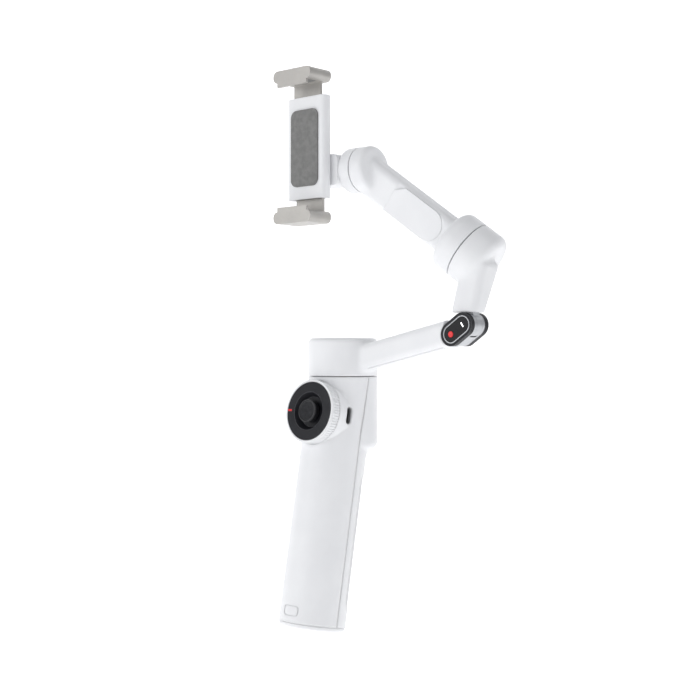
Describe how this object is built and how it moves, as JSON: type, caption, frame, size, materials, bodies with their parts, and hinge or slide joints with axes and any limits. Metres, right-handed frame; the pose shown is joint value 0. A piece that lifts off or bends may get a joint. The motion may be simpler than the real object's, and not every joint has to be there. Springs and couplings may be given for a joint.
{
  "type": "phone gimbal stabilizer",
  "caption": "Hand-held motorised phone stabilizer with leaning grip, thumb dial, folding arm and sliding clamp jaws.",
  "frame": {"origin": "mouth of the tripod socket in the middle of the grip's bottom face", "axes": "+Z parallel to the pan axis, towards the phone; the controls and the phone's screen face -Y; +X along the pan arm"},
  "size_m": [0.1219, 0.0703, 0.3094],
  "materials": {
    "shell_white": "fine satin white moulding",
    "soft_white": "soft-touch white",
    "black_plastic": "satin black",
    "black_gloss": "gloss black",
    "stick_rubber": "fine pimpled rubber",
    "silver_metal": "satin anodised",
    "jaw_metal": "bead-blasted warm grey",
    "grey_rubber": "matt grey",
    "red_plastic": "gloss red",
    "light_white": "lit diffuser",
    "steel": "ground",
    "magnet_metal": "nickel plated",
    "copper_winding": "enamelled copper on a steel core",
    "battery_wrap": "shrink sleeve",
    "board_green": "solder mask"
  },
  "bodies": {
    "handle": {"front_shell": "shell_white", "rear_shell": "shell_white", "palm_pad": "soft_white", "bottom_cap": "shell_white", "tripod_insert": "steel", "battery_cell": "battery_wrap", "main_board": "board_green", "charging_socket": "steel", "dial_face": "black_plastic", "dial_marker": "red_plastic", "pan_stator": "copper_winding", "pan_bearing": "steel"},
    "dial_wheel": {"control_wheel": "shell_white"},
    "stick_ring": {"stick_ring": "black_plastic"},
    "stick": {"joystick": "stick_rubber"},
    "trigger": {"trigger": "shell_white"},
    "pan_arm": {"pan_arm": "shell_white", "pan_arm_cover": "shell_white", "pan_magnets": "magnet_metal", "pan_shaft": "steel", "hinge_block": "silver_metal", "fold_pin": "steel", "rear_bezel": "black_plastic", "front_bezel": "black_plastic", "bezel_trim": "silver_metal", "status_panel": "black_gloss", "status_light": "light_white"},
    "record_button": {"record_button": "red_plastic"},
    "upper_arm": {"upper_arm": "shell_white", "hinge_knuckle": "silver_metal", "roll_stator": "copper_winding", "roll_bearing": "steel"},
    "roll_arm": {"roll_arm": "shell_white", "roll_arm_cover": "shell_white", "roll_magnets": "magnet_metal", "roll_shaft": "steel", "tilt_stator": "copper_winding", "tilt_bearing": "steel"},
    "clamp": {"tilt_hub": "shell_white", "tilt_magnets": "magnet_metal", "tilt_shaft": "steel", "clamp_back": "shell_white", "back_pad": "grey_rubber"},
    "upper_jaw": {"upper_jaw": "jaw_metal", "upper_jaw_pad": "grey_rubber"},
    "lower_jaw": {"lower_jaw": "jaw_metal", "lower_jaw_pad": "grey_rubber"}
  },
  "joints": [
    {"name": "pan", "type": "hinge", "parent": "handle", "child": "pan_arm", "pos_m": [0, 0.0258, 0.15], "axis": [0, 0, 1], "range_deg": [-165, 165]},
    {"name": "fold", "type": "hinge", "parent": "pan_arm", "child": "upper_arm", "pos_m": [0.0892, 0.0263, 0.1666], "axis": [0, 1, 0], "range_deg": [0, 90]},
    {"name": "roll", "type": "hinge", "parent": "upper_arm", "child": "roll_arm", "pos_m": [0.082, 0.0338, 0.206], "axis": [-0.7533, -0.2511, 0.6079], "range_deg": [-40, 40]},
    {"name": "tilt", "type": "hinge", "parent": "roll_arm", "child": "clamp", "pos_m": [0.025, 0.0148, 0.252], "axis": [1, 0, 0], "range_deg": [-35, 35]},
    {"name": "upper_jaw_slide", "type": "slide", "parent": "clamp", "child": "upper_jaw", "axis": [0, 0, 1], "range_m": [-0.0033, 0.0067]},
    {"name": "lower_jaw_slide", "type": "slide", "parent": "clamp", "child": "lower_jaw", "axis": [0, 0, -1], "range_m": [-0.0033, 0.0067]},
    {"name": "dial_turn", "type": "hinge", "parent": "handle", "child": "dial_wheel", "pos_m": [0, -0.00001, 0.11954], "axis": [0, -0.9829, 0.184], "continuous": true},
    {"name": "stick_up_down", "type": "hinge", "parent": "handle", "child": "stick_ring", "pos_m": [0, 0.0052, 0.11857], "axis": [1, 0, 0], "range_deg": [-6, 6], "stiffness_Nm_per_rad": 0.02},
    {"name": "stick_left_right", "type": "hinge", "parent": "stick_ring", "child": "stick", "pos_m": [0, 0.0052, 0.11857], "axis": [0, 0.184, 0.9829], "range_deg": [-6, 6], "stiffness_Nm_per_rad": 0.02},
    {"name": "trigger_press", "type": "slide", "parent": "handle", "child": "trigger", "axis": [0, -1, 0], "range_m": [0, 0.0012], "stiffness_N_per_m": 400, "springref_m": -0.0004},
    {"name": "record_press", "type": "slide", "parent": "pan_arm", "child": "record_button", "axis": [0, 1, 0], "range_m": [0, 0.0005], "stiffness_N_per_m": 300, "springref_m": -0.0003}
  ],
  "couplings": [
    {"joint": "lower_jaw_slide", "follows": "upper_jaw_slide", "ratio": 1}
  ]
}
